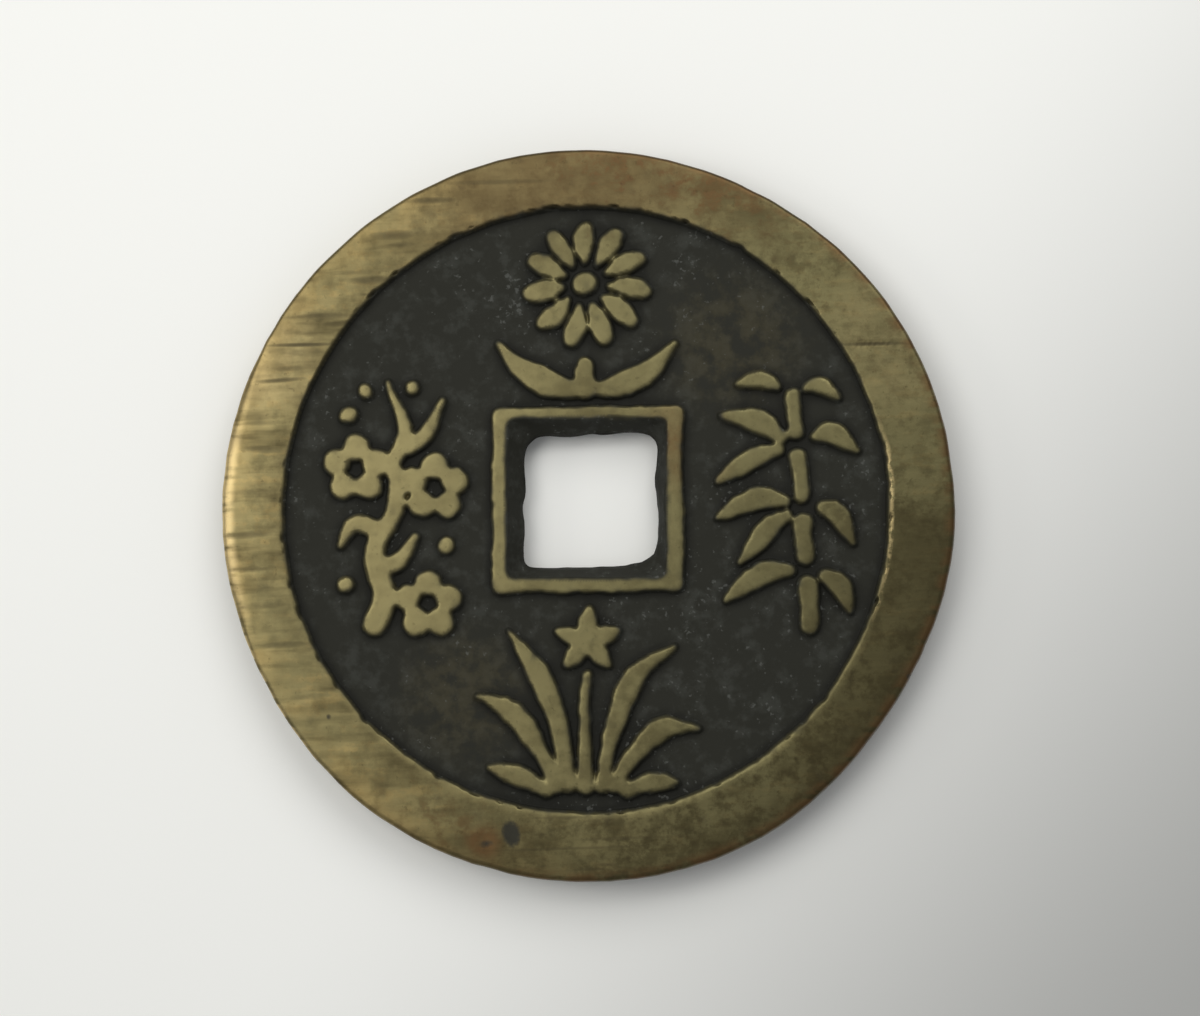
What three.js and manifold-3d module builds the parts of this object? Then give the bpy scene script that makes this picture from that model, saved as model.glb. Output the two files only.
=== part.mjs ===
// A cast brass cash coin, poured in one piece: a round flan with a broad raised rim on each face, a square
// hole with a thin raised rim of its own, and four raised plants on each face.
// Millimetres, +Z up. The coin lies flat on its back rim with its front face up, and the top of the front
// face points along +Y. The origin is on the ground, under the middle of the coin.

import * as THREE from "three";
import { mergeVertices } from "three/addons/utils/BufferGeometryUtils.js";
import Module from "manifold-3d";

// Driving dimensions of the flan
const diameter = 37.0;
const rimThickness = 2.5;
const rimWidth = 3.2;
const fieldDepth = 0.45; // how far each field lies below the rim of its own face
const rimLean = 0.14; // the rim's inner wall leans back this much over its height
const shoulder = 0.32; // radius worn onto the rim's outer corners
const edgeBelly = 0.06; // how far the edge bulges between its shoulders
const fieldShift = [-0.07, 0.2]; // the fields lie this far from the middle, because the mould slipped
const filedFlats = [
  // where the edge was filed below a true circle, in degrees from +X
  { angle: 326, spread: 34, depth: 0.34 },
  { angle: 68, spread: 40, depth: 0.16 },
  { angle: 206, spread: 34, depth: 0.16 },
];

// Driving dimensions of the square hole, which is narrowest at the parting line, midway through the coin
const holeClear = 6.7;
const holeLean = 0.7; // each wall of the hole leans back this much from the parting line to the face
const holeShift = [0.04, 0.7]; // the hole's centre from the middle of the coin
const holeSlip = [0.15, -0.07]; // the parting line lies this far from the hole's centre
const holeCorners = [0.8, 1.2, 0.4, 1.5]; // corner radii at the parting line, from the one at +X +Y round
const mouthCorner = 0.3; // corner radius at the face
const holeBars = [0.8, 0.55, 0.7, 0.65]; // widths of the hole rim's bars at +X, +Y, -X and -Y

// Driving dimensions of the relief: the hole's rims and the plants
const reliefWear = 0.05; // how far the relief's tops lie below the coin's rim
const reliefLean = 0.12; // how far each side of the relief spreads down to the field
const reliefRooting = 0.3; // how far the relief's solids reach down into the flan
const stemWidth = 1.15;
const twigWidth = 0.7;
const leafWidth = 1.1;
const gapAbove = [0.35, 0.65]; // from the plant above the hole to the hole's rim and to the coin's rim
const gapBelow = [0.6, 0.9];
const gapLeft = [1.6, 2.6];
const gapRight = [1.2, 1.5];
const gapBack = [0.6, 0.8];
const sideLift = 0.3; // the plants at the sides have their middles this far above the coin's own
const chrysanthemumHeight = 9.0; // the size to which each plant is drawn below, before it is fitted to its room
const orchidHeight = 9.3;
const plumWidth = 6.2;
const bambooWidth = 7.7;

// Fineness of the curves
const flanSteps = 108;
const shoulderSteps = 2;
const cornerSteps = 3;
const bossSteps = 12;
const strokeEndSteps = 2;
const strokeTip = 0.02; // least half width of a stroke
const leastRoundEnd = 0.15; // half width from which a stroke's end is round
const strokeTurn = 14; // degrees that a stroke may turn between two of its sections
const strokeStep = 0.95; // length that it may run between them

const half = rimThickness / 2;
const fieldRadius = diameter / 2 - rimWidth;
const fieldLevel = half - fieldDepth;
const reliefTop = half - reliefWear;
const reliefRoot = fieldLevel - reliefRooting;
const rootLean = (reliefLean * (reliefTop - reliefRoot)) / (reliefTop - fieldLevel);
const mouthHalf = holeClear / 2 + holeLean;
const cutPast = 1; // cutters run this far past the faces

const wasm = await Module();
wasm.setup();

// A three.js geometry as a solid that can be joined and cut.
function solid(geometry) {
  const bare = geometry.clone();
  bare.deleteAttribute("normal");
  bare.deleteAttribute("uv");
  const merged = mergeVertices(bare, 1e-4);
  return new wasm.Manifold(
    new wasm.Mesh({
      numProp: 3,
      vertProperties: new Float32Array(merged.attributes.position.array),
      triVerts: new Uint32Array(merged.index.array),
    }),
  );
}

// A solid as a three.js geometry with flat faces.
function geometryOf(shape) {
  const mesh = shape.getMesh();
  const points = new Float32Array(mesh.numVert * 3);
  for (let i = 0; i < mesh.numVert; i++)
    points.set(mesh.vertProperties.subarray(i * mesh.numProp, i * mesh.numProp + 3), i * 3);
  const indexed = new THREE.BufferGeometry()
    .setAttribute("position", new THREE.BufferAttribute(points, 3))
    .setIndex(new THREE.BufferAttribute(new Uint32Array(mesh.triVerts), 1));
  const flat = indexed.toNonIndexed();
  flat.computeVertexNormals();
  return flat;
}

// A closed solid through rings of equally many points, each ring going round anticlockwise as seen from
// the last ring, with a flat lid on the first and the last.
function loft(rings) {
  const count = rings[0].length;
  const position = rings.flat(2);
  const index = [];
  for (let r = 0; r + 1 < rings.length; r++)
    for (let i = 0; i < count; i++) {
      const [a, b] = [r * count + i, r * count + ((i + 1) % count)];
      index.push(a, b, b + count, a, b + count, a + count);
    }
  const last = (rings.length - 1) * count;
  for (let i = 1; i + 1 < count; i++) {
    index.push(0, i + 1, i);
    index.push(last, last + i, last + i + 1);
  }
  return new THREE.BufferGeometry()
    .setAttribute("position", new THREE.Float32BufferAttribute(position, 3))
    .setIndex(index);
}

// One value for each of a square's four sides or corners.
function each(value) {
  return [value, value, value, value];
}

// The points of a square with round corners at one height. grow moves its four sides out, from +X round, and
// corners are its four radii, from the corner at +X +Y round.
function squareRing(halfSide, grow, corners, z, [x, y]) {
  const ring = [];
  const [right, top, left, bottom] = grow.map((more) => halfSide + more);
  const ends = [[right, top], [-left, top], [-left, -bottom], [right, -bottom]];
  ends.forEach(([endX, endY], quarter) => {
    const corner = corners[quarter];
    const centre = [endX - Math.sign(endX) * corner, endY - Math.sign(endY) * corner];
    for (let i = 0; i <= cornerSteps; i++) {
      const angle = ((quarter + i / cornerSteps) * Math.PI) / 2;
      ring.push([x + centre[0] + corner * Math.cos(angle), y + centre[1] + corner * Math.sin(angle), z]);
    }
  });
  return ring;
}

// How far the filed edge lies inside a true circle, in the direction of angle, in degrees.
function filedAway(angle) {
  let depth = 0;
  for (const flat of filedFlats) {
    const turn = ((angle - flat.angle + 540) % 360) - 180;
    if (Math.abs(turn) < flat.spread)
      depth += flat.depth * Math.cos(((turn / flat.spread) * Math.PI) / 2) ** 2;
  }
  return depth;
}

// The flan before its fields are sunk: a disc with worn shoulders, a slight belly and filed flats.
function flan() {
  const rim = diameter / 2 - edgeBelly;
  const profile = [new THREE.Vector2(0, -half)];
  for (let i = 0; i <= shoulderSteps; i++) {
    const angle = ((i / shoulderSteps - 1) * Math.PI) / 2;
    profile.push(
      new THREE.Vector2(
        rim - shoulder + shoulder * Math.cos(angle),
        shoulder - half + shoulder * Math.sin(angle),
      ),
    );
  }
  profile.push(new THREE.Vector2(rim + edgeBelly, 0));
  const mirrored = profile.slice(0, -1).reverse();
  profile.push(...mirrored.map((p) => new THREE.Vector2(p.x, -p.y)));
  const disc = new THREE.LatheGeometry(profile, flanSteps).rotateX(Math.PI / 2);
  const points = disc.attributes.position;
  for (let i = 0; i < points.count; i++) {
    const [x, y] = [points.getX(i), points.getY(i)];
    const angle = THREE.MathUtils.radToDeg(Math.atan2(y, x));
    const shrink = 1 - filedAway((angle + 360) % 360) / (diameter / 2);
    points.setXY(i, x * shrink, y * shrink);
  }
  return solid(disc);
}

// The cutter that sinks the front face's field: a wide cone frustum.
function fieldCutter() {
  const foot = fieldRadius - rimLean / 2;
  const leanPast = (rimLean * (cutPast + fieldDepth)) / fieldDepth;
  const profile = [
    new THREE.Vector2(0, fieldLevel),
    new THREE.Vector2(foot, fieldLevel),
    new THREE.Vector2(foot + leanPast, half + cutPast),
    new THREE.Vector2(0, half + cutPast),
  ];
  const cone = new THREE.LatheGeometry(profile, flanSteps).rotateX(Math.PI / 2);
  return solid(cone.translate(fieldShift[0], fieldShift[1], 0));
}

// The hole: its walls lean back from the parting line to both faces, and its corners grow sharper.
function holeCutter() {
  const even = each(0);
  const mouthCorners = each(mouthCorner);
  const past = mouthHalf + (holeLean * cutPast) / half;
  const parting = [holeShift[0] + holeSlip[0], holeShift[1] + holeSlip[1]];
  return solid(
    loft([
      squareRing(past, even, mouthCorners, -half - cutPast, holeShift),
      squareRing(mouthHalf, even, mouthCorners, -half, holeShift),
      squareRing(holeClear / 2, even, holeCorners, 0, parting),
      squareRing(mouthHalf, even, mouthCorners, half, holeShift),
      squareRing(past, even, mouthCorners, half + cutPast, holeShift),
    ]),
  );
}

// The block that becomes the front face's thin rim round the hole once the hole is cut.
function holeRim() {
  const spread = holeBars.map((bar) => bar + rootLean);
  return solid(
    loft([
      squareRing(mouthHalf, spread, each(mouthCorner + rootLean), reliefRoot, holeShift),
      squareRing(mouthHalf, holeBars, each(mouthCorner), reliefTop, holeShift),
    ]),
  );
}

// A brush stroke: a smooth line through its points, and its widths at equal steps along that line.
function stroke(points, widths) {
  return { points, widths };
}

// A lance-shaped leaf from its foot to its tip, as wide as width a third of the way along.
function leaf(points, width = leafWidth) {
  return stroke(points, [width * 0.35, width, width * 0.85, width * 0.12]);
}

// A round boss, such as a bud.
function boss(at, radius) {
  return { at, radius };
}

// A stroke and its mirror image across the plant's own middle line.
function pair({ points, widths }) {
  return [stroke(points, widths), stroke(points.map(([x, y]) => [-x, y]), widths)];
}

// A point at that distance and angle, in degrees, from a centre.
function around([x, y], distance, angle) {
  const turn = THREE.MathUtils.degToRad(angle);
  return [x + distance * Math.cos(turn), y + distance * Math.sin(turn)];
}

// The chrysanthemum: a ring of petals round a heart, on a short stem with two leaves.
function chrysanthemum() {
  const heart = [0, 1.25];
  const heartRadius = 0.62;
  const petals = 11;
  const reach = [1.0, 2.2, 3.25]; // from the heart's middle to a petal's foot, waist and tip
  const twist = 3; // degrees that a petal's waist is turned aside
  const shapes = [
    boss(heart, heartRadius),
    stroke([[0, -2.3], [-0.15, -3.3], [0.1, -4.5]], [0.7, 0.85, 0.95]),
    ...pair(leaf([[0, -4.1], [-1.6, -3.75], [-3.2, -2.95], [-4.5, -1.6]], 1.3)),
  ];
  for (let i = 0; i < petals; i++) {
    const angle = 90 + (i * 360) / petals;
    const [foot, waist, tip] = reach;
    const line = [around(heart, foot, angle), around(heart, waist, angle + twist), around(heart, tip, angle)];
    shapes.push(stroke(line, [0.2, 0.8, 1.05, 0.5]));
  }
  return shapes;
}

// A grass-like leaf of the orchid, widest two thirds of the way along.
function blade(points, width = leafWidth) {
  return stroke(points, [width * 0.5, width * 0.7, width, width * 0.12]);
}

// The orchid: long leaves that arch to both sides from one tuft, and one flower on a stalk.
function orchid() {
  const flower = [0.05, 2.85];
  const petalTurns = [90, 20, 160, 312, 228]; // degrees
  const petalReach = 1.75;
  const shapes = [
    blade([[-0.75, -4.5], [-1.25, -1.7], [-2.1, 0.9], [-3.9, 3.5]]),
    blade([[-1.2, -4.5], [-2.35, -2.2], [-3.7, -0.5], [-5.5, 0.25]]),
    blade([[-1.6, -4.6], [-3.1, -3.75], [-4.9, -3.2]]),
    blade([[0.7, -4.5], [1.3, -1.4], [2.4, 1.1], [4.4, 2.7]]),
    blade([[1.15, -4.5], [2.4, -2.5], [3.8, -1.3], [5.6, -1.35]]),
    blade([[1.6, -4.6], [2.95, -3.95], [4.55, -3.95]]),
    stroke([[0, -4.6], [-0.1, -1.6], [0.05, 1.5]], [0.75, 0.55, 0.45]),
  ];
  for (const turn of petalTurns)
    shapes.push(stroke([flower, around(flower, petalReach, turn)], [0.5, 0.95, 0.15]));
  return shapes;
}

// A plum blossom: five round petals that touch, round an open heart.
function blossom(centre) {
  const petals = 5;
  const petalReach = 1.05;
  const petalRadius = 0.64;
  return Array.from({ length: petals }, (_, i) =>
    boss(around(centre, petalReach, 90 + (i * 360) / petals), petalRadius),
  );
}

// The plum branch: a crooked branch with twigs, three blossoms and loose buds.
function plum() {
  return [
    stroke([[-1.3, -6.2], [-0.6, -4.3], [-1.05, -2.0], [0.0, 0.0], [-0.1, 2.2]], [1.2, 1.05, 1.0, 0.85, 0.75]),
    stroke([[-0.1, 2.0], [0.35, 3.9], [-0.55, 6.2]], [0.75, 0.65, 0.2]),
    stroke([[-0.95, -2.9], [0.2, -2.6], [1.0, -1.3]], [0.8, twigWidth, 0.3]),
    stroke([[-0.75, -1.2], [-2.05, -0.75], [-2.85, -2.0]], [0.8, twigWidth, 0.2]),
    stroke([[0.15, 2.7], [1.4, 3.6], [2.3, 5.4]], [0.8, twigWidth, 0.2]),
    ...blossom([1.55, -4.75]),
    ...blossom([1.85, 0.95]),
    ...blossom([-1.95, 1.85]),
    boss([-2.4, -3.7], 0.42),
    boss([-2.4, 4.5], 0.42),
    boss([0.85, 5.8], 0.36),
    boss([2.35, -1.9], 0.42),
    boss([-1.55, 5.6], 0.36),
  ];
}

// The bamboo: a jointed cane with leaves in bunches at its joints.
function bamboo() {
  const joints = [[1.35, -6.7], [1.15, -3.3], [0.95, -0.1], [0.7, 3.1], [0.45, 6.2]];
  const jointGap = 0.2; // half the gap between two lengths of cane
  const thinning = 0.1; // how much narrower each length is than the one below it
  const waistShare = 0.82;
  const cane = [];
  for (let i = 0; i + 1 < joints.length; i++) {
    const [foot, head] = [joints[i], joints[i + 1]];
    const width = stemWidth - i * thinning;
    const waist = width * waistShare;
    const line = [[foot[0], foot[1] + jointGap], [head[0], head[1] - jointGap]];
    cane.push(stroke(line, [width, waist, waist, width]));
  }
  return [
    ...cane,
    leaf([[0.2, 3.25], [-1.3, 4.3], [-3.4, 4.55]]),
    leaf([[0.15, 2.9], [-1.5, 2.4], [-3.5, 1.1]]),
    leaf([[1.35, 3.4], [2.5, 3.6], [3.85, 2.6]]),
    leaf([[0.35, 0.15], [-1.4, 0.35], [-3.6, -0.75]]),
    leaf([[0.4, -0.35], [-0.9, -1.25], [-2.3, -3.0]]),
    leaf([[1.55, 0.0], [2.8, -0.5], [3.6, -2.0]]),
    leaf([[0.6, -3.25], [-1.1, -3.45], [-3.1, -4.9]]),
    leaf([[1.75, -3.4], [2.9, -4.1], [3.5, -5.5]]),
    leaf([[-0.1, 5.9], [-1.2, 6.4], [-2.5, 6.0]], 0.8),
    leaf([[1.0, 5.9], [1.9, 6.1], [2.9, 5.3]], 0.8),
  ];
}

// The shares of a stroke's length at which it gets a section: wherever it has turned or run far enough, and
// closer at an end that is wide enough to be round.
function sections(line, length, ends) {
  const roundings = ends.map((end) =>
    end < leastRoundEnd
      ? [0]
      : Array.from({ length: strokeEndSteps + 1 }, (_, i) => 1 - Math.cos(((i / strokeEndSteps) * Math.PI) / 2)),
  );
  const [head, tail] = roundings.map((shares, i) => shares.map((share) => (share * ends[i]) / length));
  const [first, last] = [head[head.length - 1], 1 - tail[tail.length - 1]];
  const fine = 60; // steps in which the turning and running are measured
  const shareAt = (step) => THREE.MathUtils.lerp(first, last, step / fine);
  const used = [0]; // how much turning and running the stroke has used up, in sections
  for (let i = 1; i <= fine; i++) {
    const [before, after] = [shareAt(i - 1), shareAt(i)];
    const turn = THREE.MathUtils.radToDeg(line.getTangentAt(before).angleTo(line.getTangentAt(after)));
    used.push(used[i - 1] + Math.max(turn / strokeTurn, ((after - before) * length) / strokeStep));
  }
  const steps = Math.max(1, Math.ceil(used[fine]));
  const inner = [];
  for (let k = 1; k < steps; k++) {
    inner.push(shareAt(used.findIndex((sum) => sum >= (used[fine] * k) / steps)));
  }
  return [...head, ...inner, ...tail.reverse().map((share) => 1 - share)];
}

// A stroke as a solid ridge on the front face: flat on top, leaning at its sides, round at its wide ends. Its
// points are in place, and its widths as drawn, to be scaled. Its sections are shared out at the drawn size,
// so that a larger coin has no more of them.
function ridge(points, widths, scale) {
  const line = new THREE.SplineCurve(points);
  const width = new THREE.SplineCurve(widths.map((wide, i) => new THREE.Vector2(i, wide * scale)));
  const length = line.getLength() / scale;
  const ends = [widths[0] / 2, widths[widths.length - 1] / 2];
  const rings = sections(line, length, ends).map((u) => {
    const at = line.getPointAt(u);
    const along = line.getTangentAt(u);
    const side = new THREE.Vector2(-along.y, along.x);
    const end = u < 0.5 ? ends[0] : ends[1];
    const inset = end < leastRoundEnd ? 0 : Math.max(0, 1 - (Math.min(u, 1 - u) * length) / end);
    const top = Math.max(strokeTip, (width.getPoint(u).y / 2) * Math.sqrt(1 - inset * inset));
    const root = top + rootLean;
    return [
      [at.x - side.x * root, at.y - side.y * root, reliefRoot],
      [at.x + side.x * root, at.y + side.y * root, reliefRoot],
      [at.x + side.x * top, at.y + side.y * top, reliefTop],
      [at.x - side.x * top, at.y - side.y * top, reliefTop],
    ];
  });
  return solid(loft(rings));
}

// A boss as a solid on the front face, leaning at its side as a ridge does.
function button(at, radius) {
  const ring = (reach, z) =>
    Array.from({ length: bossSteps }, (_, i) => [...around(at, reach, (i * 360) / bossSteps), z]);
  return solid(loft([ring(radius + rootLean, reliefRoot), ring(radius, reliefTop)]));
}

// A plant in relief on the front face: scaled, turned by degrees about its own middle, and moved.
function plant(shapes, at, scale, turn = 0) {
  const angle = THREE.MathUtils.degToRad(turn);
  const place = ([x, y]) =>
    new THREE.Vector2(x, y)
      .multiplyScalar(scale)
      .rotateAround(new THREE.Vector2(), angle)
      .add(new THREE.Vector2(...at));
  return shapes
    .map(({ points, widths, at: centre, radius }) =>
      points
        ? ridge(points.map(place), widths, scale)
        : button(place(centre).toArray(), radius * scale),
    )
    .reduce((joined, next) => joined.add(next));
}

// The middle and the scale of a plant that fills the room between the hole's rim and the coin's rim, on the
// side numbered from +X round, apart from its gaps to the two.
function room(side, size, gaps) {
  const axis = side % 2;
  const way = side < 2 ? 1 : -1;
  const inner = holeShift[axis] + way * (mouthHalf + holeBars[side] + gaps[0]);
  const outer = fieldShift[axis] + way * (fieldRadius - gaps[1]);
  return { middle: (inner + outer) / 2, scale: Math.abs(outer - inner) / size };
}

// The front face's relief: a plant on each side of the hole.
function frontRelief() {
  const above = room(1, chrysanthemumHeight, gapAbove);
  const below = room(3, orchidHeight, gapBelow);
  const left = room(2, plumWidth, gapLeft);
  const right = room(0, bambooWidth, gapRight);
  return [
    holeRim(),
    plant(chrysanthemum(), [holeShift[0], above.middle], above.scale),
    plant(orchid(), [holeShift[0], below.middle], below.scale),
    plant(plum(), [left.middle, sideLift], left.scale),
    plant(bamboo(), [right.middle, sideLift], right.scale),
  ];
}

// The back face's relief, drawn as if on the front: the chrysanthemum on each side of the hole, with its foot
// towards it.
function backRelief() {
  const shapes = chrysanthemum();
  const plants = [0, 1, 2, 3].map((side) => {
    const { middle, scale } = room(side, chrysanthemumHeight, gapBack);
    const at = side % 2 ? [holeShift[0], middle] : [middle, holeShift[1]];
    return plant(shapes, at, scale, side * 90 - 90);
  });
  return [holeRim(), ...plants];
}

// A solid made for the front face, mirrored through the coin to the back face.
function onBack(shape) {
  return shape.mirror([0, 0, 1]);
}

function coin() {
  const sunk = flan().subtract(fieldCutter()).subtract(onBack(fieldCutter()));
  const relief = [...frontRelief(), ...backRelief().map(onBack)];
  return relief.reduce((joined, next) => joined.add(next), sunk).subtract(holeCutter());
}

const brass = new THREE.MeshStandardMaterial({
  name: "cast_brass",
  color: 0x857a4c,
  metalness: 0.9,
  roughness: 0.45,
});

const mesh = new THREE.Mesh(geometryOf(coin()), brass);
mesh.name = "coin";
mesh.geometry.computeBoundingBox();
const middle = mesh.geometry.boundingBox.getCenter(new THREE.Vector3());
mesh.position.set(-middle.x, -middle.y, half);

const part = new THREE.Group();
part.name = "cash_coin";
part.add(mesh);

export default part;
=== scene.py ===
"""A worn cast cash coin, modelled finely round its packed casting, with its stage and camera.

Every length in a property is in metres, in the coin's own frame. Inside the height maps and the shaders,
lengths are in millimetres, because the coin's detail is a small part of one.
"""

import math
from types import SimpleNamespace

import bpy
import numpy as np
from mathutils import Matrix, Vector
from mathutils.bvhtree import BVHTree


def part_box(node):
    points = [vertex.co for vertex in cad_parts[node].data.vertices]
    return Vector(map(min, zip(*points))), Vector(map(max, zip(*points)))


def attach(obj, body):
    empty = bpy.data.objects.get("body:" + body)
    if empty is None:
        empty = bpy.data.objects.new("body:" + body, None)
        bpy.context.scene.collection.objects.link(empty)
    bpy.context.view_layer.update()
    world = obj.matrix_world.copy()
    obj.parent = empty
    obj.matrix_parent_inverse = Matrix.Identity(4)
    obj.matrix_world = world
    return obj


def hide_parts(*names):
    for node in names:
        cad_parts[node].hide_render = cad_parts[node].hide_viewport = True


bl_info = {
    "name": "Worn Cash Coin",
    "version": (1, 0, 0),
    "blender": (4, 5, 0),
    "location": "View3D > Sidebar > Cash Coin",
    "description": "Builds a worn brass cash coin with dark fields, its stage and its camera",
    "category": "Add Mesh",
}

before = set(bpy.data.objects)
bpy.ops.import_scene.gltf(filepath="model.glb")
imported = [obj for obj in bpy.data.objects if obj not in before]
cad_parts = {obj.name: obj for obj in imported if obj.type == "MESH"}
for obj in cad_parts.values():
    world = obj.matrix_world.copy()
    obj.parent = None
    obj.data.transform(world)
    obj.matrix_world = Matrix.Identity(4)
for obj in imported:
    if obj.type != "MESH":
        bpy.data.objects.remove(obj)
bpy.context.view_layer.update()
CASTING = "coin"
COIN_LOW, COIN_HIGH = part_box(CASTING)
MM = 1000.0  # millimetres in a metre
MIDDLE = (COIN_LOW.z + COIN_HIGH.z) / 2  # height of the parting plane
HALF = (COIN_HIGH.z - COIN_LOW.z) / 2 * MM  # half the coin's thickness, in millimetres
IMAGE_WIDTH, IMAGE_HEIGHT = 1200, 1016


class CoinShape(bpy.types.PropertyGroup):
    """Sizes of the coin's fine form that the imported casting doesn't give."""

    rim_width: bpy.props.FloatProperty(
        name="Rim Width", description="Width of the raised rim",
        default=0.0032, unit="LENGTH",
    )
    field_depth: bpy.props.FloatProperty(
        name="Field Depth", description="Depth of the field below the rim",
        default=0.00045, unit="LENGTH",
    )
    shoulder: bpy.props.FloatProperty(
        name="Shoulder Height", description="Height of the wear on the rim's outer corners",
        default=0.00032, unit="LENGTH",
    )
    shoulder_width: bpy.props.FloatProperty(
        name="Shoulder Width", description="Width of the wear on the rim's outer corners",
        default=0.00020, unit="LENGTH",
    )
    worn_side: bpy.props.FloatProperty(
        name="Worn Side", description="How much wider the wear is on the coin's left",
        default=0.00042, unit="LENGTH",
    )
    belly: bpy.props.FloatProperty(
        name="Belly", description="How far the edge bulges between its shoulders",
        default=0.00006, unit="LENGTH",
    )
    crown: bpy.props.FloatProperty(
        name="Rim Crown", description="How far the rim is worn down at its outer side",
        default=0.00003, unit="LENGTH",
    )
    relief_wear: bpy.props.FloatProperty(
        name="Relief Wear", description="How far the relief lies below the rim",
        default=0.00005, unit="LENGTH",
    )
    softness: bpy.props.FloatProperty(
        name="Softness", description="How softly the casting's outlines are rounded",
        default=0.000085, unit="LENGTH",
    )
    lip: bpy.props.FloatProperty(
        name="Lip", description="How far the relief is worn down along its outlines",
        default=0.00003, unit="LENGTH",
    )
    wander: bpy.props.FloatProperty(
        name="Wander", description="How far the relief's outlines wander from true",
        default=0.00004, unit="LENGTH",
    )
    spread: bpy.props.FloatProperty(
        name="Rim Spread", description="How far the rim's inner wall was cast inward of true",
        default=0.00012, unit="LENGTH",
    )
    grain: bpy.props.FloatProperty(
        name="Sand Grain", description="Height of the sand grain cast into the fields",
        default=0.000008, unit="LENGTH",
    )
    ragged: bpy.props.FloatProperty(
        name="Ragged Hole", description="How far the hole's inner edge wanders",
        default=0.00006, unit="LENGTH",
    )
    most_faces: bpy.props.IntProperty(
        name="Most Faces", description="The most triangles that the finished casting may have",
        default=190000,
    )
    cell: bpy.props.FloatProperty(
        name="Cell", description="Spacing of the height maps' points",
        default=0.00006, unit="LENGTH",
    )
    seed: bpy.props.IntProperty(
        name="Seed", description="Seed of all the coin's irregularity",
        default=7,
    )


class CoinFinish(bpy.types.PropertyGroup):
    """Colours of the coin's brass and of its patina."""

    # The left's brass is lighter than the right's partly from handling and partly as painted sheen.
    brass: bpy.props.FloatVectorProperty(
        name="Brass", description="Handled brass of the left side",
        default=(0.203, 0.166, 0.075), size=3, subtype="COLOR",
    )
    dull: bpy.props.FloatVectorProperty(
        name="Dull Brass", description="Duller brass of the right side",
        default=(0.136, 0.120, 0.057), size=3, subtype="COLOR",
    )
    olive: bpy.props.FloatVectorProperty(
        name="Olive Brass", description="Greenish brass of the relief",
        default=(0.170, 0.152, 0.072), size=3, subtype="COLOR",
    )
    # The rubbed colour is worn brass with a painted highlight in it.
    rubbed: bpy.props.FloatVectorProperty(
        name="Rubbed Brass", description="Brass that is rubbed bright on the worn shoulder",
        default=(0.66, 0.51, 0.25), size=3, subtype="COLOR",
    )
    bright: bpy.props.FloatVectorProperty(
        name="Ochre Brass", description="Warm patches of the worn rim",
        default=(0.33, 0.24, 0.094), size=3, subtype="COLOR",
    )
    tarnish: bpy.props.FloatVectorProperty(
        name="Tarnish", description="Red-brown tarnish on the rim",
        default=(0.108, 0.062, 0.027), size=3, subtype="COLOR",
    )
    dirt: bpy.props.FloatVectorProperty(
        name="Dirt", description="Brown dirt in the file marks",
        default=(0.040, 0.032, 0.015), size=3, subtype="COLOR",
    )
    patina: bpy.props.FloatVectorProperty(
        name="Patina", description="Near-black patina of the fields",
        default=(0.0190, 0.0190, 0.0140), size=3, subtype="COLOR",
    )
    bloom: bpy.props.FloatVectorProperty(
        name="Bloom", description="Grey bloom that mottles the patina",
        default=(0.034, 0.035, 0.029), size=3, subtype="COLOR",
    )
    specks: bpy.props.FloatVectorProperty(
        name="Specks", description="Pale specks on the patina",
        default=(0.12, 0.125, 0.115), size=3, subtype="COLOR",
    )
    earth: bpy.props.FloatVectorProperty(
        name="Earth", description="Brown earth stain in the fields",
        default=(0.050, 0.043, 0.022), size=3, subtype="COLOR",
    )


class CoinStage(bpy.types.PropertyGroup):
    """The floor, the light and the camera."""

    paper: bpy.props.FloatVectorProperty(
        name="Paper", description="Colour of the pale floor",
        default=(0.90, 0.905, 0.88), size=3, subtype="COLOR",
    )
    distance: bpy.props.FloatProperty(
        name="Camera Distance", description="From the camera to the coin",
        default=0.150, unit="LENGTH",
    )
    tilt: bpy.props.FloatProperty(
        name="Camera Tilt", description="How far the camera leans off straight down",
        default=math.radians(5), subtype="ANGLE",
    )
    lean_way: bpy.props.FloatProperty(
        name="Lean Direction", description="The way that the camera leans, from +X",
        default=math.radians(-50), subtype="ANGLE",
    )
    coin_pixels: bpy.props.FloatProperty(
        name="Coin Width In Pixels", description="Width of the coin in the picture",
        default=739.0,
    )
    coin_column: bpy.props.FloatProperty(
        name="Coin Column", description="Column of the coin's middle in the picture",
        default=585.6,
    )
    coin_row: bpy.props.FloatProperty(
        name="Coin Row", description="Row of the coin's middle in the picture",
        default=512.6,
    )


# Height maps: square arrays over the coin, one row for each y and one column for each x, in millimetres.


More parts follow.
